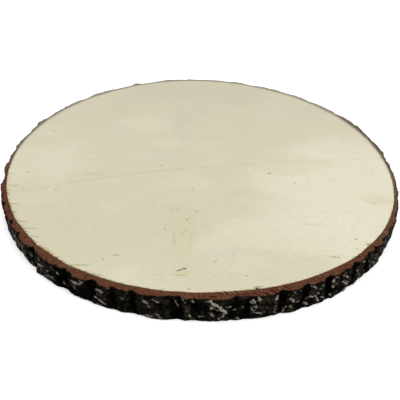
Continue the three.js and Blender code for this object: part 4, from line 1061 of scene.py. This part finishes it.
def dryAlderBark():
    # dry bark, unpolished: near black and matt outside with a pale crust, red-brown layers where it is sawn
    material, tree, place = newMaterial("dry_alder_bark")
    inMm = inMillimetres(tree, place)
    sources = gatherSources(tree, inMm, alder["traits"], alder["noises"])

    # the fine crust lies along the borders of wandering cells, where the lace trait and a noise allow it
    wander = addNode(tree, "Mapping", {"Vector": inMm, "Scale": (0.7, 0.7, 0.7)})[0]
    shift = addNode(tree, "TexNoise", {"Vector": wander, "Scale": 1.0, "Detail": 3.0})["Color"]
    wiggle = (alder["laceWander"],) * 3
    laceAt = addNode(tree, "VectorMath", {0: shift, 1: wiggle, 2: inMm}, operation="MULTIPLY_ADD")[0]
    perMm = (1 / alder["laceSize"],) * 3
    laceAt = addNode(tree, "VectorMath", {0: laceAt, 1: perMm}, operation="MULTIPLY")[0]
    sources["laceGap"] = addNode(tree, "TexVoronoi", {
        "Vector": laceAt, "Scale": 1.0,
    }, feature="DISTANCE_TO_EDGE")["Distance"]
    shows = addNode(tree, "MapRange", {0: sources["furrow"], 1: 0.1, 2: 0.6, 3: sources["lace"], 4: 0.0})[0]
    shows = addNode(tree, "MapRange", {0: sources["hollowGap"], 1: 0.1, 2: 0.9, 4: shows})[0]
    shows = addNode(tree, "MapRange", {
        0: sources["wide"], 1: 0.4, 2: 0.6, 4: shows,
    }, interpolation_type="SMOOTHSTEP")[0]
    sources["laceShows"] = addNode(tree, "MapRange", {
        0: sources["medium"], 1: 0.4, 2: 0.56, 4: shows,
    }, interpolation_type="SMOOTHSTEP")[0]
    sources["laceBright"] = addNode(tree, "MapRange", {
        0: sources["blotch"], 1: 0.45, 2: 0.65, 4: sources["laceShows"],
    }, interpolation_type="SMOOTHSTEP")[0]

    # short fibres that run outward across the sawn rim: noise laid on the direction from the middle, which
    # has no seam, and drawn out by the distance from the wood
    wide, deep = alder["fibreSize"]
    level = addNode(tree, "VectorMath", {0: inMm, 1: (1, 1, 0)}, operation="MULTIPLY")[0]
    toward = addNode(tree, "VectorMath", {0: level}, operation="NORMALIZE")[0]
    out = addNode(tree, "Math", {0: sources["fromWood"], 1: deep}, operation="DIVIDE")[0]
    out = addNode(tree, "CombineXYZ", {2: out})[0]
    fibreAt = addNode(tree, "VectorMath", {
        0: toward, 1: (girth / wide, girth / wide, 0), 2: out,
    }, operation="MULTIPLY_ADD")[0]
    sources["fibres"] = addNode(tree, "TexNoise", {"Vector": fibreAt, "Scale": 1.0, "Detail": 2.0})["Fac"]

    # the sawn rim either has the far side's painted sheen or is fresh
    grey = sources["weatherAndSheen"]
    sources["rimFarSide"] = addNode(tree, "MapRange", {0: grey, 1: 0.2, 2: 0.5, 4: 0.75})[0]
    sources["rimFresh"] = addNode(tree, "MapRange", {0: grey, 1: 0.1, 2: 0.35, 3: 0.6, 4: 0.0})[0]

    outside = paintLayers(tree, linear(alder["dullHex"]), alder["outside"], sources, alder)
    outside = paintLayers(tree, outside, alder["crusted"], sources, alder)
    sawn = paintLayers(tree, linear(alder["sawnHex"]), alder["sawnLayers"], sources, alder)
    colour = addNode(tree, "Mix", {0: sources["sawn"], 6: outside, 7: sawn}, data_type="RGBA")[2]

    closeMaterial(tree, colour, sources, alder)
    return material


# The room and the camera

room = {
    "sky": 1.07,                    # strength of the white surround
    "floorHex": "FDFDFC",
    "floorSize": 6.0,               # m
    # name, place in m, size in m, watts: soft lamps, the stronger one at the near right
    "lamps": [("keyLamp", (0.4, -0.6, 1.0), 0.8, 6.2), ("fillLamp", (-0.6, -0.5, 1.1), 1.0, 3.5)],
}

camera = {
    "place": (0.845, -305.352, 207.212),    # mm
    "pitch": 37.59,                 # degrees down from level
    "roll": 1.75,                   # degrees
    "lens": 40.43,                  # mm, on a sensor 36 mm wide
}


def plainFloor():
    # matt white paper under the slice: flat, with the faint tooth that paper has
    material, tree, place = newMaterial("matt_white_paper")
    fibre = addNode(tree, "TexNoise", {"Vector": place, "Scale": 900.0, "Detail": 2.0})["Fac"]
    bump = addNode(tree, "Bump", {"Strength": 0.05, "Distance": 0.1 * mm, "Height": fibre})["Normal"]
    shader = addNode(tree, "BsdfPrincipled", {
        "Base Color": linear(room["floorHex"]), "Roughness": 0.9, "Normal": bump,
    })["BSDF"]
    addNode(tree, "OutputMaterial", {"Surface": shader})
    half = room["floorSize"] / 2
    corners = [(-half, -half, 0), (half, -half, 0), (half, half, 0), (-half, half, 0)]
    mesh = bpy.data.meshes.new("paper_floor")
    mesh.from_pydata(corners, [], [(0, 1, 2, 3)])
    floor = bpy.data.objects.new("paper_floor", mesh)
    floor.data.materials.append(material)
    bpy.context.collection.objects.link(floor)


def softLight():
    # a white surround, and lamps that face the slice
    world = bpy.data.worlds.new("whiteSurround")
    world.use_nodes = True
    world.node_tree.nodes["Background"].inputs["Color"].default_value = (1, 1, 1, 1)
    world.node_tree.nodes["Background"].inputs["Strength"].default_value = room["sky"]
    bpy.context.scene.world = world
    for name, place, size, watts in room["lamps"]:
        lamp = bpy.data.lights.new(name, "AREA")
        lamp.energy = watts
        lamp.size = size
        lampObject = bpy.data.objects.new(name, lamp)
        lampObject.location = place
        toward = -lampObject.location
        lampObject.rotation_euler = toward.to_track_quat("-Z", "Y").to_euler()
        bpy.context.collection.objects.link(lampObject)


def photoCamera():
    # the photograph's view: the place, tilted down from level and rolled about the line of sight
    view = bpy.data.cameras.new("photoView")
    view.lens = camera["lens"]
    view.sensor_width = 36
    view.clip_start = 0.01
    viewObject = bpy.data.objects.new("photoView", view)
    turn = Matrix.Rotation(math.radians(90 - camera["pitch"]), 4, "X")
    roll = Matrix.Rotation(math.radians(camera["roll"]), 4, "Z")
    place = Matrix.Translation([c * mm for c in camera["place"]])
    viewObject.matrix_world = place @ turn @ roll
    bpy.context.collection.objects.link(viewObject)
    bpy.context.scene.camera = viewObject


photoCamera()
softLight()
plainFloor()
print("room and camera set")

disc = sawnWood()
disc.data.materials.append(sandedPoplar())
ring = furrowedBark()
ring.data.materials.append(dryAlderBark())
print("wood and bark made")

bpy.context.scene.view_settings.view_transform = "Standard"
